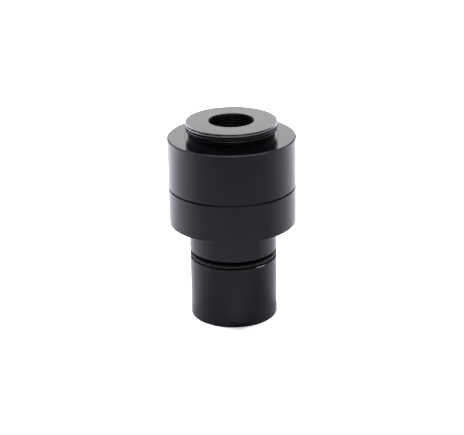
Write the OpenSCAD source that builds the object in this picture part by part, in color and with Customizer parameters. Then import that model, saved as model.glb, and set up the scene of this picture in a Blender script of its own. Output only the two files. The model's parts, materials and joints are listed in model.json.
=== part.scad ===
// Eyepiece-tube camera adapter with a reducing lens.
// A push-fit nosepiece carries a two-piece barrel. The upper barrel ends in a
// one-inch camera thread, and turns on a fine thread to set the camera's focus.
// Units are millimetres. +Z runs up the optical axis, from the nosepiece's foot
// to the camera, and the origin is the centre of that foot.

/* [Outside] */
// Diameter of the nosepiece that slides into the eyepiece tube
nose_d = 24.5; // [22:0.1:26]
// Diameter of the two large barrels
body_d = 35.6; // [35:0.1:38]
// Height of the whole adapter
total_h = 57.1; // [56.8:0.1:58.2]
// Height of the shoulder that the camera seats on
shoulder_z = 52.8; // [52.2:0.1:53.2]
// Height of the line between the two barrels
parting_z = 38.5; // [38.2:0.1:38.8]
// Height of the large barrel's lower face
body_z = 27.9; // [26:0.1:29]
// Gap in the parting line
parting_gap = 0.2; // [0.1:0.05:0.4]

/* [Nosepiece groove] */
// Height of the nosepiece sleeve, which is the groove's lower side
sleeve_h = 17.6; // [16.7:0.1:17.8]
// Height of the groove's upper side
groove_z = 19.8; // [19.6:0.1:21]
// Thickness of the O-ring in the groove
o_ring_d = 1.2; // [1:0.05:1.2]

/* [Camera thread] */
// Crest diameter of the one-inch camera thread
camera_thread_d = 25.4; // [25.2:0.1:25.6]
// Threads in each inch
threads_per_inch = 32; // [28:1:36]
// Crests of the thread, counting the one that the end chamfer cuts
camera_crests = 3; // [2:1:3]
// Diameter of the hole that light leaves through
light_port_d = 12.2; // [10:0.1:14]

/* [Focus thread] */
// Diameter of the thread between the two barrels
focus_thread_d = 31.2; // [31:0.1:31.4]
// Rise for each turn of the upper barrel
focus_pitch = 0.75; // [0.5:0.25:0.75]
// Turns from closed to the end stop
focus_turns = 3; // [1:1:3]

/* [Lenses] */
// Diameter of the lens in the nosepiece
field_lens_d = 21; // [20.6:0.1:21]
// Diameter of the cemented pair in the carrier
doublet_d = 18.5; // [18:0.1:18.5]

/* [Hidden] */
$fn = 128;

// Play between pieces: a screwed or pushed fit, a fit that turns, and one that slides.
fixed_play = 0.03;
turning_play = 0.05;
slot_play = 0.07;
overlap = 1; // how far a cutter runs past the surface it cuts

// Edge breaks
fine_chamfer = 0.15;
edge_chamfer = 0.3;

nose_r = nose_d / 2;
body_r = body_d / 2;
lower_top_z = parting_z - parting_gap / 2;
upper_foot_z = parting_z + parting_gap / 2;

// Nosepiece
pocket_r = field_lens_d / 2 + 0.1;
pocket_z = 6.5;
lip_r = 9.2;
lip_h = 1.4;
sleeve_bore_r = 11;
spigot_r = sleeve_bore_r - fixed_play;
spigot_z = pocket_z + lip_h + 0.7;
o_ring_z = sleeve_h + 0.8;
field_lens_edge = 1.8;
field_lens_bulge = 1.5;
retainer_hole_r = 9.3;
field_retainer_z = [2, 4.3];

// Lower barrel and what it holds
neck_bore_r = 8.6;
glare_stop_z = 30.7;
glare_stop_h = 0.8;
glare_stop_r = 10.5;
glare_hole_r = 7.2;
chamber_z = glare_stop_z + glare_stop_h;
chamber_r = 12.35;
focus_male_r = focus_thread_d / 2;
focus_female_r = focus_male_r + turning_play;
focus_top_z = 46.4;
relief_h = 1;
relief_depth = 0.5;
drag_ring_d = 1;
drag_groove_z = [44.4, 45.6];
drag_groove_r = focus_male_r - 1;

// Lens carrier
carrier_r = chamber_r - turning_play;
carrier_foot_z = 33.5;
flange_r = 14.9;
flange_z = [48.75, 50.2];
lens_pocket_r = doublet_d / 2 + 0.05;
lens_stop_z = 44.8;
lens_stop_h = 1.2;
lens_stop_r = 8.2;
carrier_mouth_r = 10.6;

// Cemented pair: the crown's top edge, its edge height and the three surfaces
crown_edge_z = 44.5;
crown_edge_h = 1.6;
crown_radius = 34;
cemented_radius = 26;
cement_gap = 0.02;
flint_foot_z = 39.7;
doublet_spacer_z = [37.7, flint_foot_z];
doublet_spacer_hole_r = 8.4;
doublet_retainer_z = [35.2, 37.7];
doublet_retainer_hole_r = 8;

// Slip washers and the ring that keeps the carrier in the upper barrel
washer_h = 0.3;
washer_hole_r = 12.8;
washer_gap = 0.03;
carrier_retainer_h = 1.5;
carrier_retainer_hole_r = 12.6;
lower_washer_z = flange_z[0] - washer_gap - washer_h;
upper_washer_z = flange_z[1] + washer_gap;
ceiling_z = upper_washer_z + washer_h + 0.02;
retainer_top_z = lower_washer_z - 0.02;

// Camera thread ring
thread_pitch = 25.4 / threads_per_inch;
thread_depth = 0.613 * thread_pitch;
crest_flat = thread_pitch / 8;
crest_r = camera_thread_d / 2;
end_chamfer = 0.55;
thread_run_out = 0.4;
undercut_r = crest_r - 0.7;
thread_top_z = total_h - end_chamfer;
thread_foot_z = thread_top_z - (camera_crests - 1) * thread_pitch - crest_flat / 2 - thread_run_out;
ring_spigot_r = 11.2;
ring_flange_r = 13;
ring_flange_z = shoulder_z - 1;
ring_flange_set_back = 0.02;
ring_foot_z = ceiling_z + 0.15;
port_r = light_port_d / 2;
rib_pitch = 0.8;
rib_depth = 0.35;
port_chamfer = 0.25;

// Lock screw, at the back, and the guide pin that its hole lets in a part turn up
lock_z = 42.2;
lock_angle = 90;
lock_hole_r = 1.25;
lock_pad_y = [focus_female_r - turning_play + 0.02, focus_male_r + 0.7];
lock_screw_y = [focus_male_r + 0.72, body_r - 0.1];
hex_r = 0.75;
hex_depth = 0.9;
pin_angle = 0;
pin_r = 0.78;
pin_z = lock_z + focus_pitch * 0.75;
pin_hole_r = pin_r + fixed_play;
pin_x = [11.15, focus_male_r - 0.2];
slot_r = pin_r + slot_play;
slot_floor_r = 11;
slot_end_play = 0.1;
focus_travel = focus_pitch * focus_turns;

// Spanner slots in the retaining rings
slot_w = 1.3;
slot_depth = 0.9;

black_anodised = [0.12, 0.12, 0.14];
black_matte = [0.05, 0.05, 0.06];
glass_tint = [0.75, 0.88, 0.85];

// A turned ring between two heights, with 45 degree chamfers on its outer edges.
module turned_ring(r_out, r_in, z, foot = 0, top = 0) {
    rotate_extrude()
        polygon([
            [r_in, z[0]], [r_out - foot, z[0]], [r_out, z[0] + foot],
            [r_out, z[1] - top], [r_out - top, z[1]], [r_in, z[1]]
        ]);
}

// A cutter for a round hole on the axis.
module axial_hole(r, z0, z1) {
    translate([0, 0, z0]) cylinder(r = r, h = z1 - z0);
}

// A cutter for a square groove round the outside of a shaft.
module outside_groove(r_shaft, r_floor, z) {
    difference() {
        axial_hole(r_shaft + overlap, z[0], z[1]);
        axial_hole(r_floor, z[0] - overlap, z[1] + overlap);
    }
}

// A cutter for a conical edge break at the mouth of a hole, widening along the axis.
module hole_chamfer(r, z_mouth, size, up = true) {
    s = up ? 1 : -1;
    rotate_extrude()
        polygon([
            [0, z_mouth - s * size], [r, z_mouth - s * size],
            [r + size + overlap, z_mouth + s * overlap], [0, z_mouth + s * overlap]
        ]);
}

// Ring-shaped V grooves, one for each pitch, cut into the outside of a shaft.
module outer_grooves(r, z_first, pitch, depth, flat, count) {
    half = (pitch - flat) / 2;
    rotate_extrude()
        for (i = [0:count - 1])
            translate([r, z_first + i * pitch])
                polygon([
                    [-depth, -flat / 2], [-depth, flat / 2], [0, half],
                    [overlap, half], [overlap, -half], [0, -half]
                ]);
}

// Ring-shaped V grooves cut into the wall of a hole.
module inner_grooves(r, z_first, pitch, depth, flat, count) {
    half = (pitch - flat) / 2;
    rotate_extrude()
        for (i = [0:count - 1])
            translate([r, z_first + i * pitch])
                polygon([
                    [depth, -flat / 2], [depth, flat / 2], [0, half],
                    [-overlap, half], [-overlap, -half], [0, -half]
                ]);
}

// Two opposite slots across the lower face of a retaining ring, for a pin spanner.
module spanner_slots(r, z_face) {
    translate([-r - overlap, -slot_w / 2, z_face - overlap])
        cube([2 * (r + overlap), slot_w, slot_depth + overlap]);
}

// A retaining ring with its spanner slots on the lower face.
module retaining_ring(r_out, r_in, z) {
    difference() {
        turned_ring(r_out, r_in, z, foot = fine_chamfer);
        spanner_slots(r_out, z[0]);
    }
}

// ---- Pieces that stay with the nosepiece ----

module nose_sleeve() {
    color(black_anodised)
        difference() {
            turned_ring(nose_r, 0, [0, sleeve_h], foot = fine_chamfer, top = fine_chamfer);
            axial_hole(pocket_r, -overlap, pocket_z);
            axial_hole(lip_r, 0, sleeve_h);
            axial_hole(sleeve_bore_r, pocket_z + lip_h, sleeve_h + overlap);
        }
}

module nose_o_ring() {
    color(black_matte)
        translate([0, 0, o_ring_z])
            rotate_extrude()
                translate([spigot_r + fixed_play + o_ring_d / 2, 0])
                    circle(d = o_ring_d, $fn = 48);
}

module field_lens() {
    rim_r = field_lens_d / 2;
    radius = (rim_r * rim_r + field_lens_bulge * field_lens_bulge) / (2 * field_lens_bulge);
    apex_z = pocket_z - field_lens_edge - field_lens_bulge;
    color(glass_tint, 0.4)
        intersection() {
            axial_hole(rim_r, apex_z - overlap, pocket_z);
            translate([0, 0, apex_z + radius]) sphere(r = radius, $fn = 256);
        }
}

module field_lens_retainer() {
    color(black_matte)
        retaining_ring(pocket_r - turning_play, retainer_hole_r, field_retainer_z);
}

module lower_barrel() {
    color(black_anodised)
        difference() {
            union() {
                turned_ring(spigot_r, 0, [spigot_z, groove_z + overlap], foot = edge_chamfer);
                turned_ring(nose_r, 0, [groove_z, body_z + overlap], foot = fine_chamfer);
                turned_ring(body_r, 0, [body_z, lower_top_z], foot = fine_chamfer, top = fine_chamfer);
                turned_ring(focus_male_r, 0, [lower_top_z - overlap, focus_top_z], top = edge_chamfer);
            }
            axial_hole(neck_bore_r, spigot_z - overlap, chamber_z);
            axial_hole(glare_stop_r, glare_stop_z, chamber_z);
            axial_hole(chamber_r, chamber_z, focus_top_z + overlap);
            outside_groove(focus_male_r, focus_male_r - relief_depth, [lower_top_z, lower_top_z + relief_h]);
            outside_groove(focus_male_r, drag_groove_r, drag_groove_z);
            translate([0, 0, pin_z]) rotate([0, 90, pin_angle])
                cylinder(r = pin_hole_r, h = body_r);
        }
}

module drag_o_ring() {
    color(black_matte)
        translate([0, 0, (drag_groove_z[0] + drag_groove_z[1]) / 2])
            rotate_extrude()
                translate([drag_groove_r + 0.02 + drag_ring_d / 2, 0])
                    circle(d = drag_ring_d, $fn = 48);
}

module glare_stop() {
    color(black_matte)
        turned_ring(glare_stop_r - fixed_play, glare_hole_r, [glare_stop_z, chamber_z]);
}

module guide_pin() {
    color("silver")
        rotate([0, 0, pin_angle]) translate([pin_x[0], 0, pin_z]) rotate([0, 90, 0])
            cylinder(r = pin_r, h = pin_x[1] - pin_x[0]);
}

// ---- Pieces that slide: the carrier and its lenses ----

module lens_carrier() {
    color(black_matte)
        difference() {
            union() {
                turned_ring(carrier_r, 0, [carrier_foot_z, flange_z[1]], foot = edge_chamfer);
                turned_ring(flange_r, 0, flange_z, foot = fine_chamfer, top = fine_chamfer);
            }
            axial_hole(lens_pocket_r, carrier_foot_z - overlap, lens_stop_z);
            axial_hole(lens_stop_r, lens_stop_z - overlap, flange_z[1]);
            axial_hole(carrier_mouth_r, lens_stop_z + lens_stop_h, flange_z[1] + overlap);
            guide_slot();
        }
}

// The blind slot that runs on the guide pin. Its two ends stop the travel.
module guide_slot() {
    low = pin_z - focus_travel - slot_end_play;
    high = pin_z + slot_end_play;
    rotate([0, 0, pin_angle])
        translate([slot_floor_r, 0, 0])
            rotate([0, 90, 0])
                union() {
                    translate([-low, 0, 0]) cylinder(r = slot_r, h = chamber_r);
                    translate([-high, 0, 0]) cylinder(r = slot_r, h = chamber_r);
                    translate([-high, -slot_r, 0]) cube([high - low, 2 * slot_r, chamber_r]);
                }
}

// Height that a sphere of this radius rises from radius r to its pole.
function rise(radius, r) = radius - sqrt(radius * radius - r * r);

module crown_element() {
    rim_r = doublet_d / 2;
    top_pole = crown_edge_z + rise(crown_radius, rim_r);
    foot_edge_z = crown_edge_z - crown_edge_h;
    foot_pole = foot_edge_z - rise(cemented_radius, rim_r);
    color(glass_tint, 0.4)
        intersection() {
            axial_hole(rim_r, foot_pole - overlap, top_pole + overlap);
            translate([0, 0, top_pole - crown_radius]) sphere(r = crown_radius, $fn = 256);
            translate([0, 0, foot_pole + cemented_radius]) sphere(r = cemented_radius, $fn = 256);
        }
}

module flint_element() {
    rim_r = doublet_d / 2;
    edge_z = crown_edge_z - crown_edge_h;
    pole = edge_z - rise(cemented_radius, rim_r) - cement_gap;
    color(glass_tint, 0.4)
        difference() {
            axial_hole(rim_r, flint_foot_z, edge_z - cement_gap);
            translate([0, 0, pole + cemented_radius]) sphere(r = cemented_radius, $fn = 256);
        }
}

module doublet_spacer() {
    color(black_matte)
        turned_ring(doublet_d / 2, doublet_spacer_hole_r, doublet_spacer_z);
}

module doublet_retainer() {
    color(black_matte)
        retaining_ring(doublet_d / 2, doublet_retainer_hole_r, doublet_retainer_z);
}

// ---- Pieces that turn: the upper barrel and what is fixed in it ----

module slip_washer(z) {
    color("white")
        turned_ring(focus_male_r, washer_hole_r, [z, z + washer_h]);
}

module slip_washer_lower() {
    slip_washer(lower_washer_z);
}

module slip_washer_upper() {
    slip_washer(upper_washer_z);
}

module carrier_retainer() {
    color(black_matte)
        retaining_ring(focus_male_r, carrier_retainer_hole_r,
            [retainer_top_z - carrier_retainer_h, retainer_top_z]);
}

module upper_barrel() {
    color(black_anodised)
        difference() {
            turned_ring(body_r, 0, [upper_foot_z, shoulder_z], foot = fine_chamfer, top = edge_chamfer);
            axial_hole(focus_female_r, upper_foot_z - overlap, ceiling_z);
            axial_hole(ring_spigot_r + fixed_play, ceiling_z - overlap, shoulder_z + overlap);
            axial_hole(ring_flange_r + fixed_play, ring_flange_z, shoulder_z + overlap);
            hole_chamfer(focus_female_r, upper_foot_z, fine_chamfer, up = false);
            rotate([0, 0, lock_angle]) translate([0, 0, lock_z]) rotate([0, 90, 0])
                cylinder(r = lock_hole_r, h = body_r + overlap);
        }
}

module camera_thread_ring() {
    color(black_anodised)
        difference() {
            union() {
                turned_ring(ring_spigot_r, 0, [ring_foot_z, ring_flange_z + overlap], foot = fine_chamfer);
                turned_ring(ring_flange_r, 0, [ring_flange_z, shoulder_z - ring_flange_set_back]);
                turned_ring(undercut_r, 0, [ring_flange_z, thread_foot_z + overlap]);
                turned_ring(crest_r, 0, [thread_foot_z, total_h], foot = thread_run_out, top = end_chamfer);
            }
            outer_grooves(crest_r, thread_top_z - (camera_crests - 1.5) * thread_pitch, thread_pitch,
                thread_depth, crest_flat, camera_crests - 1);
            axial_hole(port_r, ring_foot_z - overlap, total_h + overlap);
            inner_grooves(port_r, ring_foot_z + rib_pitch, rib_pitch, rib_depth, rib_pitch / 4,
                floor((total_h - ring_foot_z) / rib_pitch) - 1);
            hole_chamfer(port_r, total_h, port_chamfer);
        }
}

module lock_pad() {
    color("white")
        rotate([0, 0, lock_angle]) translate([lock_pad_y[0], 0, lock_z]) rotate([0, 90, 0])
            cylinder(r = lock_hole_r - turning_play, h = lock_pad_y[1] - lock_pad_y[0]);
}

module lock_screw() {
    color("dimgray")
        rotate([0, 0, lock_angle]) translate([0, 0, lock_z]) rotate([0, 90, 0])
            difference() {
                axial_hole(lock_hole_r - fixed_play, lock_screw_y[0], lock_screw_y[1]);
                translate([0, 0, lock_screw_y[1] - hex_depth])
                    cylinder(r = hex_r, h = hex_depth + overlap, $fn = 6);
            }
}

nose_sleeve();
nose_o_ring();
field_lens();
field_lens_retainer();
lower_barrel();
glare_stop();
guide_pin();
drag_o_ring();
lens_carrier();
crown_element();
flint_element();
doublet_spacer();
doublet_retainer();
slip_washer_lower();
slip_washer_upper();
carrier_retainer();
upper_barrel();
camera_thread_ring();
lock_pad();
lock_screw();
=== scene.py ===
# %% [markdown]
# # A black camera adapter, turned piece by piece
#
# This is a small optical adapter: a nosepiece that slides into an eyepiece tube, a barrel in two
# halves that screw together to focus, and a one-inch thread for a camera on top. Nearly every part
# was made on a lathe, so nearly every mesh here is an outline carried round an axis.
#
# The CAD model gives the sizes, the bodies and the joints. This lesson replaces its plain solids
# with finished ones: broken edges, real helical threads, spanner slots, polished lenses.

# %% Load the frame
import json
import math
from collections import namedtuple

import bpy
import numpy as np
from mathutils import Matrix, Vector


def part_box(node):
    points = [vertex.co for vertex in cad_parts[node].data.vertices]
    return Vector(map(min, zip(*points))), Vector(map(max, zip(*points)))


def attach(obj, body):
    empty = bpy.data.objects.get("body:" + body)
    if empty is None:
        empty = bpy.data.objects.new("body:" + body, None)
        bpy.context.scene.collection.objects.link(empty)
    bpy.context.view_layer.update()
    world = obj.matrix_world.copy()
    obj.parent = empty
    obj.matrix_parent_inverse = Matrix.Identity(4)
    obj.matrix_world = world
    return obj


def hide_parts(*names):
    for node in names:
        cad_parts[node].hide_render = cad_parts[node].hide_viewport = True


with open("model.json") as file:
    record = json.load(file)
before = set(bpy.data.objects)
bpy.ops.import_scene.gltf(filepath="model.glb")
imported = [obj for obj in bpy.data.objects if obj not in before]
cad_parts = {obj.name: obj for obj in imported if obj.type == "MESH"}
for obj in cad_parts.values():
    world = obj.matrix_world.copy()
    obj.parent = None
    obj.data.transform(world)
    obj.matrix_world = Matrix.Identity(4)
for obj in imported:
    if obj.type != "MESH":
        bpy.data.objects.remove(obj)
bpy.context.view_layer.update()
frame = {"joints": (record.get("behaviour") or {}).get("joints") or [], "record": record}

# %% [markdown]
# ## Sizes come from the frame
#
# A turned part needs only its radii and heights. Its box in the CAD model gives the largest radius
# and the two ends, and the mounts give the two seats. Everything is in millimetres until the mesh is
# made, because that is how a drawing of such a part is written. The few values below are the ones
# that a box can't show: the play between pieces and the bores inside them.

# %% Sizes
MM = 0.001

Ring = namedtuple("Ring", "r foot top")


def ring(node):
    """Outer radius, foot and top of an upright turned node, in millimetres, from its CAD box."""
    low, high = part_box(node)
    return Ring((high.x - low.x) / 2 / MM, low.z / MM, high.z / MM)


mounts = {mount["name"]: mount for mount in frame["record"]["mounts"]}
tube_seat = mounts["tube_seat"]["pos_m"][2] / MM
camera_crest_r = mounts["camera_thread"]["dims"]["r_mm"]

FIXED_PLAY = 0.03
TURNING_PLAY = 0.05
AXIAL_PLAY = 0.02
FOOT_CHAMFER = 0.1
CHAMFER = 0.15
EDGE_CHAMFER = 0.3

sleeve = ring("nose_sleeve")
lower = ring("lower_barrel")
upper = ring("upper_barrel")
camera_ring = ring("camera_thread_ring")
carrier = ring("lens_carrier")
field = ring("field_lens")
field_ring = ring("field_lens_retainer")
stop = ring("glare_stop")
crown = ring("crown_element")
flint = ring("flint_element")
spacer = ring("doublet_spacer")
doublet_ring = ring("doublet_retainer")
washer_low = ring("slip_washer_lower")
washer_high = ring("slip_washer_upper")
carrier_ring = ring("carrier_retainer")

groove_h = 2.2
groove_top = sleeve.top + groove_h
parting_gap = 0.2
lower_flange_top = upper.foot - parting_gap
print("barrel", upper.r * 2, "mm across, adapter", camera_ring.top, "mm tall")

# %% [markdown]
# ## Outlines with broken edges
#
# No machined edge is perfectly sharp: a file or a tumbler takes off a few hundredths, and that tiny
# round is what catches the light. It could be a Bevel modifier, but on a lathe part it is simpler to
# round the outline's corners before turning it. Each corner becomes a short curve, and each straight
# side gets a point close behind the curve, so that smooth shading stays flat along the side.
#
# The outline also says which points are edges: the rounds, and the short slanting sides, which are
# chamfers. The finish reads that later to paint them paler, partly as rubbed wear and partly as a
# painted highlight along the edges.

# %% Outline
BEND_POINTS = 5
SOFT = 0.05
LEAD = 0.03
LONGEST = 1.5
MOST_OF_SIDE = 0.45
SLANT_MIN = 0.02
SLANT_MAX = 0.8

Outline = namedtuple("Outline", "r z edge")


def spread(a, b, step):
    """Points between two ends: one a LEAD inside each end, and even ones no more than a step apart."""
    run = float(np.hypot(*(b - a)))
    if run < 3 * LEAD:
        return np.empty((0, 2))
    count = max(2, int(math.ceil((run - 2 * LEAD) / step)) + 1)
    share = np.linspace(LEAD, run - LEAD, count) / run
    return a + share[:, None] * (b - a)


def is_chamfer(a, b):
    """1 for a short side that slants, 0 for any other."""
    along_r, along_z = np.abs(b - a)
    return float(min(along_r, along_z) > SLANT_MIN and max(along_r, along_z) < SLANT_MAX)


def outline(corners, closed=True, threads=(), soft=SOFT):
    """The corners joined by straight sides. At a corner P the path leaves one side at A and joins the
    next at B, along the curve (1-s)^2 A + 2s(1-s) P + s^2 B, which is a round of about that size."""
    p = np.array(corners, float)
    back = np.roll(p, 1, axis=0) - p
    on = np.roll(p, -1, axis=0) - p
    back_run = np.hypot(back[:, 0], back[:, 1])
    on_run = np.hypot(on[:, 0], on[:, 1])
    cut = np.minimum(soft, MOST_OF_SIDE * np.minimum(back_run, on_run))
    if not closed:
        cut[[0, -1]] = 0
    a = p + back * (cut / back_run)[:, None]
    b = p + on * (cut / on_run)[:, None]
    s = np.linspace(0, 1, BEND_POINTS)[:, None]
    points, edges = [], []
    for i in range(len(p)):
        bend = (1 - s) ** 2 * a[i] + 2 * s * (1 - s) * p[i] + s**2 * b[i]
        bend = bend if cut[i] > 0 else p[i : i + 1]
        points.append(bend)
        edges.append(np.ones(len(bend)))
        if closed or i < len(p) - 1:
            following = a[(i + 1) % len(p)]
            side = spread(b[i], following, side_step(b[i], following, threads))
            points.append(side)
            edges.append(np.full(len(side), is_chamfer(b[i], following)))
    points = np.concatenate(points)
    return Outline(points[:, 0], points[:, 1], np.concatenate(edges))


side = spread(np.array([0.0, 0.0]), np.array([0.0, 6.0]), LONGEST)
print("heights of the points along a side of 6 mm:", np.round(side[:, 1], 2))

# %% [markdown]
# ## Threads as a cut, not a picture
#
# A thread is one V groove that climbs a pitch for every turn. Instead of building a separate helix
# and joining it on, the turned surface is limited by the groove: at each point the radius is the
# smaller of the outline's and the thread's. That is what the threading tool does, so the groove runs
# out through the end chamfer and into the undercut just as it does on the real part.

# %% Thread
ROWS_PER_PITCH = 16
CREST_SHARE = 0.36
ROOT_SHARE = 0.88
DEPTH_SHARE = 0.45
FADE_SHARE = 0.5
EVEN_SHARE = 0.4
HAIR = 0.001

Thread = namedtuple("Thread", "crest foot top pitch inside start", defaults=(False, 0.0))


def in_thread(thread, r, z):
    """True for the points of an outline that the thread's tool passes over."""
    depth = DEPTH_SHARE * thread.pitch
    low = thread.crest - (HAIR if thread.inside else depth)
    high = thread.crest + (depth if thread.inside else HAIR)
    return (r >= low) & (r <= high) & (z >= thread.foot) & (z <= thread.top)


def side_step(a, b, threads):
    """How far apart a side's points are: fine along a thread, coarse elsewhere."""
    middle = (a + b) / 2
    for thread in threads:
        if in_thread(thread, *middle):
            return thread.pitch / ROWS_PER_PITCH
    return LONGEST


def cut_thread(thread, r, z, turn):
    """The radius after threading. The distance to the nearest crest, as a share of half a pitch, goes
    from 0 on the crest to 1 mid-groove. Between the crest's flat and the root's flat the depth rises
    evenly, eased a little at both ends. The cut fades out over the last part of a turn at the top,
    and an inside thread's at the foot too."""
    phase = (z - thread.top) / thread.pitch - turn + thread.start
    from_crest = 2 * np.abs(phase - np.round(phase))
    rise = np.clip((from_crest - CREST_SHARE) / (ROOT_SHARE - CREST_SHARE), 0, 1)
    rise = EVEN_SHARE * rise + (1 - EVEN_SHARE) * rise**2 * (3 - 2 * rise)
    depth = DEPTH_SHARE * thread.pitch * rise
    from_end = np.minimum(z - thread.foot, thread.top - z) if thread.inside else thread.top - z
    depth = depth * np.clip(from_end / (FADE_SHARE * thread.pitch), 0, 1)
    if thread.inside:
        return np.maximum(r, thread.crest + depth)
    return np.minimum(r, thread.crest - depth)


print("a thread is", DEPTH_SHARE, "pitches deep and has", ROWS_PER_PITCH, "rows of points to a pitch")

# %% [markdown]
# ## Turning an outline into a solid
#
# The outline runs once round the section, up the outside and down the inside. Carried round the axis
# it gives a grid: one row for each outline point, one column for each step of the turn. Joining the
# last column to the first closes the seam. A lens or a screw has no hole, so its outline starts and
# ends on the axis, and each end is one point with a fan of triangles.

# %% Turned solid
AROUND = 224
CUT_SHOWS = 0.02


def faces_of_grid(rows, columns, closed):
    """Four-sided faces between neighbouring rows and columns. The columns always close; the rows do
    when the outline does. Otherwise the first and last rows are single points with triangle fans."""
    grid = np.arange(rows * columns).reshape(rows, columns)
    if closed:
        lower_row, upper_row = grid, np.roll(grid, -1, axis=0)
        fans = []
    else:
        lower_row, upper_row = grid[:-1], grid[1:]
        low_pole, high_pole = rows * columns, rows * columns + 1
        first, last = grid[0], grid[-1]
        fans = [[low_pole, int(b), int(a)] for a, b in zip(first, np.roll(first, -1))]
        fans += [[high_pole, int(a), int(b)] for a, b in zip(last, np.roll(last, -1))]
    quads = np.stack(
        [lower_row, np.roll(lower_row, -1, axis=1), np.roll(upper_row, -1, axis=1), upper_row], axis=-1
    )
    return quads.reshape(-1, 4).tolist() + fans


def turned(name, path, threads=(), closed=True, around=AROUND, worn_past=(0, -1)):
    """A solid of revolution about Z: x = r cos(a), y = r sin(a), z from the outline. An outline that
    runs clockwise is turned over, so that the faces always point out of the metal. Edges are marked
    for paling, which is partly wear and partly painted highlight, only past a given radius and height."""
    r, z, edge = path
    if not closed:
        r, z, edge = r[1:-1], z[1:-1], edge[1:-1]
    whole_r, whole_z = path.r, path.z
    area = np.sum(whole_r * np.roll(whole_z, -1) - np.roll(whole_r, -1) * whole_z)
    poles = [path.z[0], path.z[-1]]
    if area < 0:
        r, z, edge, poles = r[::-1], z[::-1], edge[::-1], poles[::-1]
    turn = np.arange(around) / around
    radius = np.repeat(r[:, None], around, axis=1)
    height = np.repeat(z[:, None], around, axis=1)
    marks = np.repeat(edge[:, None], around, axis=1)
    for thread in threads:
        cut = cut_thread(thread, radius, height, turn[None, :])
        cut = np.where(in_thread(thread, r, z)[:, None], cut, radius)
        marks = np.where(np.abs(cut - radius) > CUT_SHOWS, 0, marks)
        radius = cut
    # Edge marks outside these limits are dropped. The marks paint the edges pale, partly as wear and partly
    # as a painted highlight.
    marks = np.where((radius > worn_past[0]) & (height > worn_past[1]), marks, 0)
    angle = 2 * np.pi * turn[None, :]
    points = np.stack([radius * np.cos(angle), radius * np.sin(angle), height], axis=-1).reshape(-1, 3)
    marks = marks.reshape(-1)
    if not closed:
        points = np.concatenate([points, [[0, 0, poles[0]], [0, 0, poles[1]]]])
        marks = np.concatenate([marks, [0, 0]])
    mesh = bpy.data.meshes.new(name)
    mesh.from_pydata((points * MM).tolist(), [], faces_of_grid(len(r), around, closed))
    mesh.polygons.foreach_set("use_smooth", np.ones(len(mesh.polygons), bool))
    mesh.attributes.new("edge", "FLOAT", "POINT").data.foreach_set("value", marks.astype(np.float32))
    mesh.update()
    piece = bpy.data.objects.new(name, mesh)
    bpy.context.scene.collection.objects.link(piece)
    return piece


def machined(name, corners, threads=(), closed=True, around=AROUND, soft=SOFT, worn_past=(0, -1)):
    """A turned piece straight from its corners, in millimetres."""
    return turned(name, outline(corners, closed, threads, soft), threads, closed, around, worn_past)


print("steps round the axis:", AROUND)

# %% [markdown]
# ## Milling: slots and cross holes
#
# A few cuts aren't round about the main axis: the spanner slots of the retaining rings, the guide
# slot, the pin hole and the hole for the lock screw. They are taken out with an exact Boolean, which
# is applied at once so that the finished piece is plain mesh. Edges left by the cut are marked sharp,
# so the smooth wall beside them keeps its even shading.

# %% Milling
SHARP_ANGLE = math.radians(35)


def mill(piece, *cutters):
    """Takes each cutter out of the piece and throws the cutter away."""
    for cutter in cutters:
        cut = piece.modifiers.new("cut", "BOOLEAN")
        cut.operation = "DIFFERENCE"
        cut.solver = "EXACT"
        cut.object = cutter
        graph = bpy.context.evaluated_depsgraph_get()
        finished = bpy.data.meshes.new_from_object(piece.evaluated_get(graph))
        piece.modifiers.clear()
        piece.data = finished
        bpy.data.objects.remove(cutter)
    piece.data.set_sharp_from_angle(angle=SHARP_ANGLE)
    return piece


def block(low, high):
    """A box-shaped cutter between two corners, in millimetres."""
    share = np.array([[i >> 2 & 1, i >> 1 & 1, i & 1] for i in range(8)])
    points = np.array(low) + share * (np.array(high) - np.array(low))
    faces = [[0, 1, 3, 2], [4, 6, 7, 5], [0, 4, 5, 1], [2, 3, 7, 6], [0, 2, 6, 4], [1, 5, 7, 3]]
    mesh = bpy.data.meshes.new("block_cutter")
    mesh.from_pydata((points * MM).tolist(), [], faces)
    cutter = bpy.data.objects.new("block_cutter", mesh)
    bpy.context.scene.collection.objects.link(cutter)
    return cutter


def rod(r, start, end, around=48):
    """A plain round cutter along Z, in millimetres."""
    return machined("rod_cutter", [(0, start), (r, start), (r, end), (0, end)], closed=False, around=around)


def lay_along_x(piece, z):
    """Tips an upright piece over so that its own Z points along +X, and lifts it to a height."""
    piece.data.transform(Matrix.Translation((0, 0, z * MM)) @ Matrix.Rotation(math.pi / 2, 4, "Y"))
    return piece


def lay_along_y(piece, z):
    """Tips an upright piece over so that its own Z points along +Y, and lifts it to a height."""
    piece.data.transform(Matrix.Translation((0, 0, z * MM)) @ Matrix.Rotation(-math.pi / 2, 4, "X"))
    return piece


print("edges sharper than", round(math.degrees(SHARP_ANGLE)), "degrees stay sharp after milling")

# %% [markdown]
# ## Node graphs in a few words
#
# Every finish is a small graph of noise, arithmetic and one Principled shader. These helpers keep
# each finish readable: `add` makes a node and fills its inputs with numbers or with other sockets.

# %% Graph helper


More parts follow.
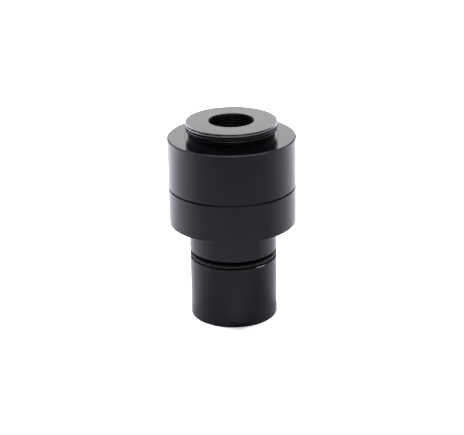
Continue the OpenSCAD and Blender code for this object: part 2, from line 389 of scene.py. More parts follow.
class Finish:
    """A material that is being wired up."""

    def __init__(self, name):
        self.material = bpy.data.materials.new(name)
        self.material.use_nodes = True
        self.nodes = self.material.node_tree.nodes
        self.links = self.material.node_tree.links
        self.shader = self.nodes["Principled BSDF"]
        self.place = self.add("ShaderNodeTexCoord").outputs["Object"]

    def feed(self, socket, value):
        """Links a socket to the input, or sets the input to a number or a colour."""
        if isinstance(value, bpy.types.NodeSocket):
            self.links.new(value, socket)
        else:
            socket.default_value = value

    def add(self, kind, inputs=(), **settings):
        """Makes a node, with its inputs fed and its settings set."""
        node = self.nodes.new(kind)
        for key, value in settings.items():
            setattr(node, key, value)
        for key, value in dict(inputs).items():
            self.feed(node.inputs[key], value)
        return node

    def sum(self, operation, a, b=0.0):
        """One step of arithmetic."""
        return self.add("ShaderNodeMath", {0: a, 1: b}, operation=operation).outputs[0]

    def noise(self, where, size, detail=2.0):
        """Soft random pattern whose blobs are about that many metres across."""
        return self.add(
            "ShaderNodeTexNoise", {"Vector": where, "Scale": 1 / size, "Detail": detail}
        ).outputs["Fac"]

    def spread(self, value, low, high, from_low=0.3, from_high=0.7):
        """Stretches a pattern over a new range."""
        inputs = {"Value": value, "From Min": from_low, "From Max": from_high, "To Min": low, "To Max": high}
        return self.add("ShaderNodeMapRange", inputs).outputs["Result"]

    def mix(self, share, first, second):
        """Goes from the first colour to the second as the share goes from 0 to 1."""
        node = self.add("ShaderNodeMix", data_type="RGBA")
        self.feed(node.inputs[0], share)
        self.feed(node.inputs[6], (*first, 1) if isinstance(first, tuple) else first)
        self.feed(node.inputs[7], (*second, 1) if isinstance(second, tuple) else second)
        return node.outputs[2]

    def bump(self, height, distance):
        """Tilts the surface as if the pattern stood out from it by that many metres."""
        bump = self.add("ShaderNodeBump", {"Height": height, "Distance": distance, "Strength": 1.0})
        self.feed(self.shader.inputs["Normal"], bump.outputs["Normal"])

    def lathe_place(self, axis="Z"):
        """Distance from the axis and distance along it, as a place. A pattern that reads this has the
        same value all the way round, as a lathe tool's marks have."""
        parts = self.add("ShaderNodeSeparateXYZ", {"Vector": self.place}).outputs
        along = parts[axis]
        across = [parts[name] for name in "XYZ" if name != axis]
        flat = self.add("ShaderNodeCombineXYZ", {"X": across[0], "Y": across[1]}).outputs[0]
        radius = self.add("ShaderNodeVectorMath", {0: flat}, operation="LENGTH").outputs["Value"]
        return self.add("ShaderNodeCombineXYZ", {"X": radius, "Y": along}).outputs[0]

    def set(self, **values):
        """Feeds the shader's own inputs, each by its name with underscores for spaces."""
        for key, value in values.items():
            self.feed(self.shader.inputs[key.replace("_", " ").title().replace("Ior", "IOR")], value)


print("helpers:", [name for name in vars(Finish) if not name.startswith("_")])

# %% [markdown]
# ## Black anodised aluminium
#
# Anodising grows a thin clear oxide on the metal and fills it with black dye. The dye hides the metal,
# so it looks like a very dark lacquer: almost no colour of its own, and a reflection that is weak
# head-on and strong at a glancing angle. The lathe's marks are still there under it, as hair-fine
# rings, with a few broader bands where the tool wore or the feed changed. Along the edges the film is
# thin and rubs grey, and that paler grey is also a painted highlight, standing in for the light the
# edges catch.
#
# The rings read the distance from the axis and the height, never the angle, so they close on
# themselves. A cloudy pattern on top stops the surface from looking drawn.

# %% Anodised finish
FINE_MARK = 0.00011
BROAD_MARK = 0.0022
CLOUD = 0.006
GRAIN = 0.00005
GRAIN_SHARE = 0.25
MARK_DEPTH = 1.6e-6
BAND_PALER = 1.35
BAND_ROUGHER = 0.035
CLOUD_ROUGHER = 0.02
NICK_INNER = 0.0011
NICK_OUTER = 0.0017
NICK_RAGGED = 0.0001
FILM_IOR = 1.38
THIN_FILM_IOR = 1.33
FILM_TINT = (0.90, 0.90, 1.0, 1)
BARE_METAL = (0.75, 0.74, 0.73)


def anodised(name, dark, pale, wear, roughness, ior=FILM_IOR, bare=0.0, nick=None):
    """Black anodising. Its edges go pale, partly as wear and partly as a painted highlight: none where the
    cloudy pattern is at the first value of the given range, all at the second. Bare metal shows through
    a share of that edge paling, and at a nick if there is one."""
    finish = Finish(name)
    lathe = finish.lathe_place()
    fine = finish.noise(lathe, FINE_MARK, 3.0)
    broad = finish.noise(lathe, BROAD_MARK)
    cloud = finish.noise(finish.place, CLOUD, 3.0)
    grain = finish.noise(finish.place, GRAIN)
    edge = finish.add("ShaderNodeAttribute", attribute_name="edge").outputs["Fac"]
    # The edges are painted pale here: partly rubbed wear, partly a painted highlight for the light that
    # chamfers, rims and thread crests catch.
    worn_and_lit_edge = finish.sum("MULTIPLY", edge, finish.spread(cloud, *wear))
    colour = finish.mix(finish.spread(broad, 0.0, 1.0), dark, tuple(BAND_PALER * c for c in dark))
    colour = finish.mix(worn_and_lit_edge, colour, pale)
    metal = finish.sum("MULTIPLY", worn_and_lit_edge, bare)
    if nick is not None:
        gap = finish.add("ShaderNodeVectorMath", {0: finish.place, 1: nick}, operation="DISTANCE")
        ragged = finish.sum("ADD", gap.outputs["Value"], finish.spread(grain, -NICK_RAGGED, NICK_RAGGED))
        near = finish.spread(ragged, 1.0, 0.0, NICK_INNER, NICK_OUTER)
        metal = finish.sum("MULTIPLY", near, edge)
    colour = finish.mix(metal, colour, BARE_METAL)
    by_band = finish.spread(broad, -BAND_ROUGHER, BAND_ROUGHER)
    by_cloud = finish.spread(cloud, -CLOUD_ROUGHER, CLOUD_ROUGHER)
    wander = finish.sum("ADD", by_band, by_cloud)
    finish.set(base_color=colour, metallic=metal, ior=ior, specular_tint=FILM_TINT)
    finish.set(roughness=finish.sum("ADD", wander, roughness))
    height = finish.sum("ADD", fine, finish.sum("MULTIPLY", grain, GRAIN_SHARE))
    finish.bump(height, MARK_DEPTH)
    return finish.material


NICK_ANGLE = math.radians(-52)
nick_place = (
    sleeve.r * MM * math.cos(NICK_ANGLE),
    sleeve.r * MM * math.sin(NICK_ANGLE),
    (sleeve.top - CHAMFER / 2) * MM,
)
# The pale colours below paint the edges: partly wear, partly a painted highlight.
barrel_black = anodised(
    "barrel_anodising",
    dark=(0.004, 0.004, 0.0055),
    pale=(0.10, 0.10, 0.105),
    wear=(0.2, 0.8),
    roughness=0.17,
)
ring_black = anodised(
    "camera_ring_anodising",
    dark=(0.004, 0.004, 0.005),
    pale=(0.08, 0.08, 0.085),
    wear=(0.5, 1.0),
    roughness=0.18,
    bare=0.6,
)
nose_black = anodised(
    "nosepiece_anodising",
    dark=(0.003, 0.0028, 0.0042),
    pale=(0.07, 0.07, 0.075),
    wear=(0.1, 0.6),
    roughness=0.17,
    ior=THIN_FILM_IOR,
    nick=nick_place,
)
print("anodised finishes:", barrel_black.name, ring_black.name, nose_black.name)

# %% [markdown]
# ## Flat black, rubber, nylon and steel
#
# Inside a light path everything is blackened and dull, because any shine would send stray light to
# the camera. Rubber is dull too, but a touch softer and browner, with a skin of fine pores. The slip
# washers are natural nylon: milky, a little translucent. The guide pin is ground steel and the lock
# screw is blackened steel with an oily sheen.

# %% Other finishes


def speckled(finish, pattern, first, second):
    """Lets the colour wander between two near shades with a pattern."""
    finish.set(base_color=finish.mix(finish.spread(pattern, 0, 1), first, second))


def flat_black(name):
    """Blackened metal: a fine grain over lathe marks, with a wide, weak reflection."""
    finish = Finish(name)
    fine = finish.noise(finish.lathe_place(), 0.00018)
    grain = finish.noise(finish.place, 0.00008, 3.0)
    speckled(finish, grain, (0.006, 0.006, 0.006), (0.012, 0.012, 0.012))
    finish.set(roughness=finish.spread(fine, 0.5, 0.68), ior=1.4)
    finish.bump(finish.sum("ADD", grain, fine), 4e-6)
    return finish.material


def rubber(name):
    """Black rubber: fine pores, and a faint brown bloom in soft patches."""
    finish = Finish(name)
    pores = finish.noise(finish.place, 0.00007, 3.0)
    bloom = finish.noise(finish.place, 0.002)
    speckled(finish, bloom, (0.004, 0.0038, 0.0038), (0.008, 0.0075, 0.0072))
    finish.set(roughness=finish.spread(pores, 0.3, 0.42), ior=1.4)
    finish.bump(pores, 5e-6)
    return finish.material


def nylon(name):
    """Undyed nylon: milky, and lit a little from inside by scattering."""
    finish = Finish(name)
    cloud = finish.noise(finish.place, 0.003, 3.0)
    grain = finish.noise(finish.place, 0.0001)
    speckled(finish, cloud, (0.72, 0.70, 0.63), (0.82, 0.80, 0.74))
    finish.set(roughness=finish.spread(grain, 0.38, 0.5), ior=1.53, subsurface_weight=0.2)
    finish.bump(grain, 4e-6)
    return finish.material


def steel(name, dark, pale, axis, low, high):
    """Bare or blackened steel, ground round its own axis, rougher and smoother between two values."""
    finish = Finish(name)
    ground = finish.noise(finish.lathe_place(axis), 0.00008, 3.0)
    cloud = finish.noise(finish.place, 0.0008)
    speckled(finish, cloud, dark, pale)
    finish.set(roughness=finish.spread(ground, low, high), metallic=1.0)
    finish.bump(ground, 2e-6)
    return finish.material


inner_black = flat_black("blackened_metal")
seal_rubber = rubber("seal_rubber")
washer_nylon = nylon("natural_nylon")
pin_steel = steel("ground_steel", (0.50, 0.50, 0.49), (0.62, 0.61, 0.60), axis="X", low=0.2, high=0.32)
screw_steel = steel(
    "blackened_steel", (0.035, 0.034, 0.036), (0.07, 0.068, 0.07), axis="Y", low=0.32, high=0.48
)
print("finishes:", len(bpy.data.materials))

# %% [markdown]
# ## Coated glass
#
# A lens is clear, but its face isn't invisible: an anti-reflection coating leaves a dim green or
# purple tint in the reflection. Real glass lets light through by refraction, so the shader has full
# transmission, and faint cleaning smears in the roughness keep it from looking like a hole.

# %% Glass finish


def coated_glass(name, tint, ior):
    """Clear glass with a coating's tint, and smears that roughen it very slightly."""
    finish = Finish(name)
    smear = finish.noise(finish.place, 0.004, 4.0)
    dust = finish.noise(finish.place, 0.0002)
    speckled(finish, smear, tint, tuple(0.97 * c for c in tint))
    finish.set(roughness=finish.spread(smear, 0.01, 0.05), ior=ior, transmission_weight=1.0)
    finish.bump(dust, 2e-7)
    return finish.material


crown_glass = coated_glass("crown_glass", tint=(0.90, 0.97, 0.94), ior=1.52)
flint_glass = coated_glass("flint_glass", tint=(0.94, 0.95, 0.98), ior=1.62)
print("glass finishes:", crown_glass.name, flint_glass.name)

# %% [markdown]
# ## Putting a piece in place
#
# Each finished piece stands for one CAD node. It rides on the body that the node belongs to, so it
# moves with the joints, and it gets its own finish. The record knows the body.

# %% Place a piece
body_of = {node: body for body, nodes in frame["record"]["behaviour"]["bodies"].items() for node in nodes}


def fit(piece, node, material):
    """Gives a finished piece its material and its body, and lets it stand for its CAD node."""
    piece.data.materials.clear()
    piece.data.materials.append(material)
    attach(piece, body_of[node])
    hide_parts(node)
    low, high = np.array(piece.bound_box).min(axis=0) / MM, np.array(piece.bound_box).max(axis=0) / MM
    print(f"{piece.name}: {len(piece.data.polygons)} faces, {np.round(high - low, 2)} mm")
    return piece


print("nodes to stand for:", len(body_of))

# %% [markdown]
# ## Upper barrel
#
# A plain cup with a polished shoulder. The camera's front ring rests on that shoulder, so it is the
# truest face of the whole adapter, with a shallow counterbore in its middle for the threaded ring.
# Inside runs the focus thread. A small threaded hole at the back takes the lock screw.

# %% Upper barrel
focus_pitch = 0.75
focus_female_r = carrier_ring.r + TURNING_PLAY
ceiling = washer_high.top + AXIAL_PLAY
ring_flange_r = 13.0
ring_flange_h = 1
ring_flange_foot = upper.top - ring_flange_h
ring_spigot_r = 11.2
thread_overrun = 0.2
lock_low, lock_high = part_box("lock_screw")
lock_height = (lock_low.z + lock_high.z) / 2 / MM
lock_hole_r = 1.25

upper_corners = [
    (upper.r - CHAMFER, upper.foot),
    (upper.r, upper.foot + CHAMFER),
    (upper.r, upper.top - EDGE_CHAMFER),
    (upper.r - EDGE_CHAMFER, upper.top),
    (ring_flange_r + FIXED_PLAY, upper.top),
    (ring_flange_r + FIXED_PLAY, ring_flange_foot),
    (ring_spigot_r + FIXED_PLAY, ring_flange_foot),
    (ring_spigot_r + FIXED_PLAY, ceiling),
    (focus_female_r, ceiling),
    (focus_female_r, upper.foot + CHAMFER),
    (focus_female_r + CHAMFER, upper.foot),
]
focus_start = upper.foot + EDGE_CHAMFER
focus_female = Thread(focus_female_r, focus_start, lower.top + thread_overrun, focus_pitch, inside=True)
upper_barrel = machined(
    "upper_barrel_turned", upper_corners, [focus_female], worn_past=(0, upper.top - 1)
)
lock_bore_start = 15
countersink = 0.25
outside_reach = 0.95
lock_bore_corners = [
    (0, lock_bore_start),
    (lock_hole_r, lock_bore_start),
    (lock_hole_r, upper.r - countersink),
    (lock_hole_r + countersink + outside_reach, upper.r + outside_reach),
    (0, upper.r + outside_reach),
]
lock_bore = machined("lock_bore_cutter", lock_bore_corners, closed=False, around=64, soft=0.01)
mill(upper_barrel, lay_along_y(lock_bore, lock_height))
fit(upper_barrel, "upper_barrel", barrel_black)

# %% [markdown]
# ## Camera thread ring
#
# The thread that gives the adapter its purpose: one inch across, thirty-two turns to the inch. Above
# it the face is chamfered so that it starts easily, and below it an undercut lets the camera screw
# right down. The hole through the middle is ribbed by a fine thread, which breaks up light that
# would otherwise skim along the wall to the sensor.

# %% Camera thread ring
camera_pitch = 25.4 / 32
first_crest = 0.55
worn_start = 0.15
worn_h = 0.2
run_out = 0.4
undercut_r = camera_crest_r - 0.7
crest_turns = 2
port_r = 6.1
port_chamfer = 0.25
rib_pitch = 0.8
crest_top = camera_ring.top - first_crest
crest_foot = crest_top - (crest_turns + 1 / ROWS_PER_PITCH) * camera_pitch
flange_top = upper.top - AXIAL_PLAY

camera_corners = [
    (ring_spigot_r - CHAMFER, camera_ring.foot),
    (ring_spigot_r, camera_ring.foot + CHAMFER),
    (ring_spigot_r, ring_flange_foot),
    (ring_flange_r, ring_flange_foot),
    (ring_flange_r, flange_top),
    (undercut_r, flange_top),
    (undercut_r, crest_foot - run_out),
    (camera_crest_r - run_out, crest_foot - run_out),
    (camera_crest_r, crest_foot),
    (camera_crest_r, crest_top - worn_h),
    (camera_crest_r - worn_start, camera_ring.top),
    (port_r + port_chamfer, camera_ring.top),
    (port_r, camera_ring.top - port_chamfer),
    (port_r, camera_ring.foot),
]
front_turn = 0.75
front_crest = first_crest + 0.15
camera_thread = Thread(
    camera_crest_r,
    crest_foot - run_out,
    camera_ring.top,
    camera_pitch,
    start=front_turn + front_crest / camera_pitch,
)
rib_thread = Thread(
    port_r,
    camera_ring.foot + EDGE_CHAMFER,
    camera_ring.top - port_chamfer - FOOT_CHAMFER,
    rib_pitch,
    inside=True,
)
camera_piece = machined(
    "camera_thread_ring_turned",
    camera_corners,
    [camera_thread, rib_thread],
    worn_past=(undercut_r, crest_foot),
)
fit(camera_piece, "camera_thread_ring", ring_black)

# %% [markdown]
# ## Lower barrel
#
# One bar turned into four steps: a spigot that the nose sleeve screws on to, the neck, the big
# flange, and the focus thread that goes up inside the upper barrel. When the focus is closed, only
# the neck and the flange show. When it is open, the first turns of the thread and the clean relief
# groove at its foot come into sight below the upper barrel.

# %% Lower barrel
sleeve_bore_r = 11.0
spigot_r = sleeve_bore_r - FIXED_PLAY
neck_bore_r = 8.6
chamber_r = 12.35
relief_r = carrier_ring.r - 0.5
relief_top = lower_flange_top + 0.9
relief_slope = 0.2
drag_groove = (lower.top - 2.0, lower.top - 0.8)
drag_groove_r = carrier_ring.r - 1
focus_male_start = 0.35

lower_corners = [
    (spigot_r - EDGE_CHAMFER, lower.foot),
    (spigot_r, lower.foot + EDGE_CHAMFER),
    (spigot_r, groove_top),
    (sleeve.r - CHAMFER, groove_top),
    (sleeve.r, groove_top + CHAMFER),
    (sleeve.r, tube_seat),
    (lower.r - FOOT_CHAMFER, tube_seat),
    (lower.r, tube_seat + FOOT_CHAMFER),
    (lower.r, lower_flange_top - CHAMFER),
    (lower.r - CHAMFER, lower_flange_top),
    (relief_r, lower_flange_top),
    (relief_r, relief_top),
    (carrier_ring.r, relief_top + relief_slope),
    (carrier_ring.r, drag_groove[0]),
    (drag_groove_r, drag_groove[0]),
    (drag_groove_r, drag_groove[1]),
    (carrier_ring.r, drag_groove[1]),
    (carrier_ring.r, lower.top - EDGE_CHAMFER),
    (carrier_ring.r - EDGE_CHAMFER, lower.top),
    (chamber_r, lower.top),
    (chamber_r, stop.top),
    (stop.r + FIXED_PLAY, stop.top),
    (stop.r + FIXED_PLAY, stop.foot),
    (neck_bore_r, stop.foot),
    (neck_bore_r, lower.foot),
]
focus_male = Thread(carrier_ring.r, relief_top, drag_groove[0], focus_pitch, start=focus_male_start)
lower_barrel = machined(
    "lower_barrel_turned", lower_corners, [focus_male], worn_past=(0, lower_flange_top + 1)
)
pin_low, pin_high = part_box("guide_pin")
pin_r = (pin_high.z - pin_low.z) / 2 / MM
pin_height = (pin_high.z + pin_low.z) / 2 / MM
pin_bore = rod(pin_r + FIXED_PLAY, chamber_r - 1.35, upper.r - 0.8)
mill(lower_barrel, lay_along_x(pin_bore, pin_height))
fit(lower_barrel, "lower_barrel", barrel_black)

# %% [markdown]
# ## Nose sleeve and its ring
#
# The sleeve slides into the eyepiece tube. Its foot is chamfered to find the way in, and threaded
# inside for the lens's retaining ring. The round rubber ring above it sits in the groove with about
# half its thickness free, and takes up the last of the play in the tube. A moulded ring has a hair
# line of flash where the two halves of its mould met, at its inner and outer equator.

# %% Nose sleeve and O-rings
pocket_r = field.r + 0.1
lip_r = 9.2
lip_top = field.top + 1.4

sleeve_corners = [
    (sleeve.r - FOOT_CHAMFER, sleeve.foot),
    (sleeve.r, sleeve.foot + FOOT_CHAMFER),
    (sleeve.r, sleeve.top - CHAMFER),
    (sleeve.r - CHAMFER, sleeve.top),
    (sleeve_bore_r, sleeve.top),
    (sleeve_bore_r, lip_top),
    (lip_r, lip_top),
    (lip_r, field.top),
    (pocket_r, field.top),
    (pocket_r, sleeve.foot),
]
cell_pitch = 0.5
mouth_thread = Thread(
    pocket_r, sleeve.foot + CHAMFER, field_ring.top + thread_overrun, cell_pitch, inside=True
)
nose_piece = machined("nose_sleeve_turned", sleeve_corners, [mouth_thread])
fit(nose_piece, "nose_sleeve", nose_black)

FLASH = 0.012
FLASH_WIDTH = 0.07
RING_STEPS = 72


def o_ring(name, node):
    """A round section at its own distance from the axis, with a low ridge at its two equators: the
    section's radius is a little larger where the sine of its angle is near nought."""
    low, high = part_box(node)
    thick = (high.z - low.z) / 2 / MM
    middle_r = (high.x - low.x) / 2 / MM - thick
    middle_z = (high.z + low.z) / 2 / MM
    a = 2 * np.pi * np.arange(RING_STEPS) / RING_STEPS
    size = thick - FLASH + FLASH * np.exp(-((np.sin(a) / FLASH_WIDTH) ** 2))
    path = Outline(middle_r + size * np.cos(a), middle_z + size * np.sin(a), np.zeros(RING_STEPS))
    return fit(turned(name, path), node, seal_rubber)


o_ring("nose_o_ring_moulded", "nose_o_ring")
o_ring("drag_o_ring_moulded", "drag_o_ring")

# %% [markdown]
# ## Lenses
#
# A lens face is part of a sphere. Its height at a distance r from the axis is R - sqrt(R^2 - r^2),
# which follows from the circle's equation. The rim is ground, and its two sharp edges are broken by
# a narrow bevel so that they don't chip. The cemented pair shares one curve: the crown's lower face
# and the flint's upper face have the same radius.

# %% Lenses
RIM_BEVEL = 0.15
FACE_POINTS = 48
RIM_POINTS = 6
LENS_AROUND = 160


def dome(radius, r):
    """How far a sphere of that radius rises from its pole to distance r from the axis."""
    return radius - np.sqrt(radius * radius - r * r)


def lens(name, rim_r, foot_face, top_face):
    """A lens from two faces. Each face is a height at the rim and a sphere's radius: positive where
    the face is hollow seen from above, negative where it is bulged, and 0 where it is flat."""
    r = np.linspace(0, rim_r - RIM_BEVEL, FACE_POINTS)

    def face(rim_z, radius):
        if radius == 0:
            return np.full(FACE_POINTS, float(rim_z))
        sag = dome(abs(radius), rim_r) - dome(abs(radius), r)
        return rim_z - math.copysign(1, radius) * sag

    rim = np.linspace(foot_face[0] + RIM_BEVEL, top_face[0] - RIM_BEVEL, RIM_POINTS)
    path_r = np.concatenate([r, np.full(RIM_POINTS, rim_r), r[::-1]])
    path_z = np.concatenate([face(*foot_face), rim, face(*top_face)[::-1]])
    return turned(name, Outline(path_r, path_z, np.zeros(len(path_r))), closed=False, around=LENS_AROUND)


field_bulge = 1.5
field_rim = 1.8
field_radius = (field.r**2 + field_bulge**2) / (2 * field_bulge)
crown_rim_h = 1.6
crown_rim_foot = flint.top + AXIAL_PLAY
crown_rim_top = crown_rim_foot + crown_rim_h
crown_radius, shared_radius = 34.0, 26.0

field_piece = lens("field_lens_polished", field.r, (field.top - field_rim, field_radius), (field.top, 0))
fit(field_piece, "field_lens", crown_glass)
crown_faces = ((crown_rim_foot, shared_radius), (crown_rim_top, -crown_radius))
fit(lens("crown_element_polished", crown.r, *crown_faces), "crown_element", crown_glass)
flint_faces = ((flint.foot, 0), (flint.top, shared_radius))
fit(lens("flint_element_polished", flint.r, *flint_faces), "flint_element", flint_glass)

# %% [markdown]
# ## Lens carrier
#
# The tube that holds the cemented pair. It slides up and down without turning, because a pin in the
# lower barrel runs in its blind slot. The flange on top hangs in the upper barrel between two
# washers, so turning the upper barrel lifts it.

# %% Lens carrier
lens_pocket_r = crown.r + TURNING_PLAY
lens_stop = (crown_rim_top + 0.3, crown_rim_top + 1.5)
lens_stop_r = 8.2
mouth_r = 10.6
flange_r = carrier.r
tube_r = chamber_r - TURNING_PLAY
flange_foot = washer_low.top + FIXED_PLAY
focus_travel = frame["joints"][0]["range_m"][1] / MM
slot_r = pin_r + 0.07
slot_floor = 11.0
slot_outside = 14.0
slot_end_play = 0.1

carrier_corners = [
    (tube_r - EDGE_CHAMFER, carrier.foot),
    (tube_r, carrier.foot + EDGE_CHAMFER),
    (tube_r, flange_foot),
    (flange_r - CHAMFER, flange_foot),
    (flange_r, flange_foot + CHAMFER),
    (flange_r, carrier.top - CHAMFER),
    (flange_r - CHAMFER, carrier.top),
    (mouth_r, carrier.top),
    (mouth_r, lens_stop[1]),
    (lens_stop_r, lens_stop[1]),
    (lens_stop_r, lens_stop[0]),
    (lens_pocket_r, lens_stop[0]),
    (lens_pocket_r, carrier.foot),
]
cell_start = carrier.foot + thread_overrun
cell_end = doublet_ring.top + EDGE_CHAMFER
cell_thread = Thread(lens_pocket_r, cell_start, cell_end, cell_pitch, inside=True)
carrier_piece = machined("lens_carrier_turned", carrier_corners, [cell_thread])
slot_low = pin_height - focus_travel - slot_end_play
slot_high = pin_height + slot_end_play
slot_ends = [lay_along_x(rod(slot_r, slot_floor, slot_outside), z) for z in (slot_low, slot_high)]
slot_middle = block((slot_floor, -slot_r, slot_low), (slot_outside, slot_r, slot_high))
mill(carrier_piece, *slot_ends, slot_middle)
fit(carrier_piece, "lens_carrier", inner_black)

# %% [markdown]
# ## Rings that hold the glass
#
# A retaining ring is a threaded washer with two opposite slots for a pin spanner. The glare stop
# has a knife edge, because a thick edge would glint, and the spacer is ribbed inside for the same
# reason. All of them are blackened.

# %% Retaining rings, spacer and stop
SLOT_W = 1.3
SLOT_DEEP = 0.9


def retaining_ring(name, node, size, hole_r, pitch):
    """A ring threaded on the outside, with two spanner slots in its lower face."""
    corners = [
        (size.r - CHAMFER, size.foot),
        (size.r, size.foot + CHAMFER),
        (size.r, size.top - CHAMFER),
        (size.r - CHAMFER, size.top),
        (hole_r, size.top),
        (hole_r, size.foot + CHAMFER),
        (hole_r + CHAMFER, size.foot),
    ]
    thread = Thread(size.r, size.foot, size.top, pitch)
    piece = machined(name, corners, [thread])
    reach = size.r + 1
    mill(piece, block((-reach, -SLOT_W / 2, size.foot - 1), (reach, SLOT_W / 2, size.foot + SLOT_DEEP)))
    return fit(piece, node, inner_black)


retaining_ring("field_lens_retainer_turned", "field_lens_retainer", field_ring, 9.3, cell_pitch)
retaining_ring("doublet_retainer_turned", "doublet_retainer", doublet_ring, 8.0, cell_pitch)
retaining_ring("carrier_retainer_turned", "carrier_retainer", carrier_ring, 12.6, focus_pitch)

spacer_hole_r = 8.4
spacer_land = 0.1
spacer_corners = [
    (spacer.r, spacer.foot),
    (spacer.r, spacer.top),
    (spacer_hole_r, spacer.top),
    (spacer_hole_r, spacer.foot),
]
ribs_foot, ribs_top = spacer.foot + spacer_land, spacer.top - spacer_land
spacer_ribs = Thread(spacer_hole_r, ribs_foot, ribs_top, cell_pitch, inside=True)
fit(machined("doublet_spacer_turned", spacer_corners, [spacer_ribs]), "doublet_spacer", inner_black)

stop_hole_r = 7.2
knife_slope = 0.7
knife_edge = 0.15
stop_corners = [
    (stop.r, stop.foot),
    (stop.r, stop.top),
    (stop_hole_r + knife_slope, stop.top),
    (stop_hole_r, stop.foot + knife_edge),
    (stop_hole_r, stop.foot),
]
fit(machined("glare_stop_turned", stop_corners), "glare_stop", inner_black)

# %% [markdown]
# ## Washers, pin, pad and screw
#
# The small parts that make the focus work. The washers are stamped, with a soft edge on both sides.
# The pin has round ends. The lock screw is headless, with a hexagon socket in its outer end and a
# nylon pad under its tip, so that it grips the thread without marking it.

# %% Small parts
washer_hole = 12.8
SMALL_AROUND = 64
for name, size in (("slip_washer_lower", washer_low), ("slip_washer_upper", washer_high)):
    corners = [
        (size.r, size.foot),
        (size.r, size.top),
        (washer_hole, size.top),
        (washer_hole, size.foot),
    ]
    fit(machined(name + "_stamped", corners, soft=0.1), name, washer_nylon)

pin_start, pin_end = pin_low.x / MM, pin_high.x / MM
pin_corners = [(0, pin_start), (pin_r, pin_start), (pin_r, pin_end), (0, pin_end)]
pin_piece = machined("guide_pin_ground", pin_corners, closed=False, around=SMALL_AROUND, soft=0.25)
fit(lay_along_x(pin_piece, pin_height), "guide_pin", pin_steel)


def across_y(node):
    """Radius, inner end and outer end of a small round piece that lies along +Y, in millimetres."""
    low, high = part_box(node)
    return Ring((high.x - low.x) / 2 / MM, low.y / MM, high.y / MM)


pad = across_y("lock_pad")
pad_corners = [(0, pad.foot), (pad.r, pad.foot), (pad.r, pad.top), (0, pad.top)]
pad_piece = machined("lock_pad_cut", pad_corners, closed=False, around=SMALL_AROUND)
fit(lay_along_y(pad_piece, lock_height), "lock_pad", washer_nylon)

screw = across_y("lock_screw")
screw_pitch = 0.45
tip_chamfer = 0.2
end_chamfer = 0.12
screw_corners = [
    (0, screw.foot),
    (screw.r - tip_chamfer, screw.foot),
    (screw.r, screw.foot + tip_chamfer),
    (screw.r, screw.top - end_chamfer),
    (screw.r - end_chamfer, screw.top),
    (0, screw.top),
]
screw_thread = Thread(screw.r, screw.foot, screw.top, screw_pitch)
screw_piece = machined("lock_screw_cut", screw_corners, [screw_thread], closed=False, around=96, soft=0.02)

HEX_R = 0.75
HEX_DEEP = 0.9
hex_floor, hex_mouth = screw.top - HEX_DEEP, screw.top + 1
socket_corners = [(0, hex_floor), (HEX_R, hex_floor), (HEX_R, hex_mouth), (0, hex_mouth)]
socket = machined("socket_cutter", socket_corners, closed=False, around=6, soft=0.005)
mill(screw_piece, socket)
fit(lay_along_y(screw_piece, lock_height), "lock_screw", screw_steel)

# %% [markdown]
# ## White paper floor
#
# The adapter stands on white paper. Black metal shows nothing but reflections, so the paper has two
# jobs: seen directly it is the plain white ground of a product picture, and mirrored in the walls it
# is what shapes them. A picture white enough for the first would be too bright for the second, so
# the Light Path node tells them apart: for rays straight from the camera the paper is paler and
# glows a little, and for all the others it is ordinary paper. A photographer gets the same effect by
# whitening the ground afterwards.

# %% Floor
STAGE_SIZE = 3.0
FLOOR_LIFT = 0.55
PAPER = (0.87, 0.87, 0.87)
PAPER_SEEN = (1.3, 1.3, 1.3)
FIBRE_SHADE = (0.5, 0.5, 0.5)
FIBRE = 0.004

floor_mesh = bpy.data.meshes.new("floor")
half = STAGE_SIZE / 2
floor_corners = [(-half, -half, 0), (half, -half, 0), (half, half, 0), (-half, half, 0)]
floor_mesh.from_pydata(floor_corners, [], [[0, 1, 2, 3]])
floor = bpy.data.objects.new("floor", floor_mesh)
bpy.context.scene.collection.objects.link(floor)
paper = Finish("white_paper")
fibre = paper.noise(paper.place, FIBRE)
seen_directly = paper.add("ShaderNodeLightPath").outputs["Is Camera Ray"]
shade = paper.mix(seen_directly, PAPER, PAPER_SEEN)
shade = paper.mix(paper.spread(fibre, 0, 0.03), shade, FIBRE_SHADE)
paper.set(base_color=shade, roughness=0.9, specular_ior_level=0.1, emission_color=(1, 1, 1, 1))
paper.set(emission_strength=paper.sum("MULTIPLY", seen_directly, FLOOR_LIFT))
floor_mesh.materials.append(paper.material)
print("floor", STAGE_SIZE, "m")

# %% [markdown]
# ## A sky that is dark in front
#
# The walls face the camera, so they mirror what is on the camera's side. A studio keeps that side
# dim, or black metal turns grey. The sky's strength therefore rises from front to back along Y. It
# could be painted as a picture, but one coordinate and a Map Range node say the same. The camera
# itself sees plain white.

# %% Sky
FRONT_SKY = 0.2
BACK_SKY = 0.45
SEEN_SKY = 1.1

world = bpy.data.worlds.new("tent")
bpy.context.scene.world = world
world.use_nodes = True
sky = world.node_tree
way = sky.nodes.new("ShaderNodeTexCoord").outputs["Generated"]
parts = sky.nodes.new("ShaderNodeSeparateXYZ")
sky.links.new(way, parts.inputs[0])
ramp = sky.nodes.new("ShaderNodeMapRange")
ramp.interpolation_type = "SMOOTHSTEP"
ramp.inputs["From Min"].default_value = 0.1
ramp.inputs["From Max"].default_value = 0.9
ramp.inputs["To Min"].default_value = FRONT_SKY
ramp.inputs["To Max"].default_value = BACK_SKY
sky.links.new(parts.outputs["Y"], ramp.inputs["Value"])
seen = sky.nodes.new("ShaderNodeLightPath").outputs["Is Camera Ray"]
choose = sky.nodes.new("ShaderNodeMix")
choose.data_type = "FLOAT"
sky.links.new(seen, choose.inputs[0])
sky.links.new(ramp.outputs["Result"], choose.inputs[2])
choose.inputs[3].default_value = SEEN_SKY
sky.nodes["Background"].inputs["Color"].default_value = (1, 1, 1, 1)
sky.links.new(choose.outputs[0], sky.nodes["Background"].inputs["Strength"])
print("sky from", FRONT_SKY, "to", BACK_SKY)

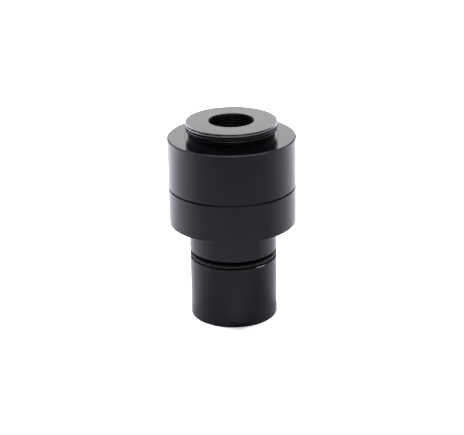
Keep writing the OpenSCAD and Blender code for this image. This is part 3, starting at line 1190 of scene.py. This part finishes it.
# %% [markdown]
# ## Four soft panels
#
# Two low panels, left and right, throw a pool of light on the paper beside the adapter. The walls
# mirror the pools, which gives the pale bands that run down both sides, while the panels themselves
# are hidden from reflections, or they would be streaks. A card behind is what the top faces mirror,
# and a panel overhead is what the slanted edges and the O-ring mirror. The pools are a little cool,
# as daylight lamps are.

# %% Panels
COOL = (0.92, 0.89, 1.0)
WHITE = (1.0, 1.0, 1.0)


def panel(name, place, aim, width, height, brightness, colour=WHITE, mirrored=True, lights_paper=True):
    """A soft light panel that faces a point. Its power is brightness times pi times its area, so that
    every panel of one brightness looks equally bright, whatever its size. One that isn't mirrored
    lights the paper and the dull surfaces, but can't be seen in the shiny ones, and one that
    doesn't light the paper is only seen in the shiny ones."""
    light = bpy.data.lights.new(name, "AREA")
    light.shape = "RECTANGLE"
    light.size = width
    light.size_y = height
    light.energy = brightness * math.pi * width * height
    light.color = colour
    lamp = bpy.data.objects.new(name, light)
    lamp.location = place
    lamp.rotation_euler = (Vector(aim) - Vector(place)).to_track_quat("-Z", "Y").to_euler()
    bpy.context.scene.collection.objects.link(lamp)
    lamp.visible_camera = False
    lamp.visible_glossy = mirrored
    lamp.visible_diffuse = lights_paper
    return lamp


foot = (0, 0, 0)
middle = (0, 0, camera_ring.top / 2 * MM)
panel("left_pool", (-0.25, 0.15, 0.14), (-0.07, 0.03, 0), 0.16, 0.16, 25.0, COOL, mirrored=False)
panel("right_pool", (0.23, 0.20, 0.14), (0.06, 0.06, 0), 0.16, 0.16, 21.0, COOL, mirrored=False)
panel("back_card", (0.0, 0.60, 0.25), middle, 0.40, 0.36, 1.75)
panel("top_panel", (0.03, -0.03, 0.30), foot, 0.30, 0.24, 1.8, lights_paper=False)

# %% [markdown]
# ## Camera
#
# The angle was worked out from the ellipses: a level circle looks flatter the lower the camera is,
# and how fast the flattening changes from the top ring to the nose tells how far away the camera
# stands. A fairly long lens from forty centimetres keeps the sides nearly parallel.

# %% Camera
ELEVATION = math.radians(21.6)
DISTANCE = 0.3969
AIM_HEIGHT = 0.02843
SIDE_STEP = -0.00023
ROLL = math.radians(-0.99)
LENS = 109.5
SENSOR = 36
NEAREST = 0.01

camera_data = bpy.data.cameras.new("camera")
camera_data.lens = LENS
camera_data.sensor_width = SENSOR
camera_data.clip_start = NEAREST
camera = bpy.data.objects.new("camera", camera_data)
tilt = Matrix.Rotation(math.pi / 2 - ELEVATION, 4, "X")
spin = Matrix.Rotation(ROLL, 4, "Z")
eye = (SIDE_STEP, -DISTANCE * math.cos(ELEVATION), AIM_HEIGHT + DISTANCE * math.sin(ELEVATION))
camera.matrix_world = Matrix.Translation(eye) @ tilt @ spin
bpy.context.scene.collection.objects.link(camera)
bpy.context.scene.camera = camera
bpy.context.scene.view_settings.view_transform = "Standard"
print("camera", [round(value, 4) for value in eye])

# %% [markdown]
# ## Last look
#
# The finished pieces must fill the same box as the CAD model, no more and no less. Each piece's size
# is printed as it is fitted.
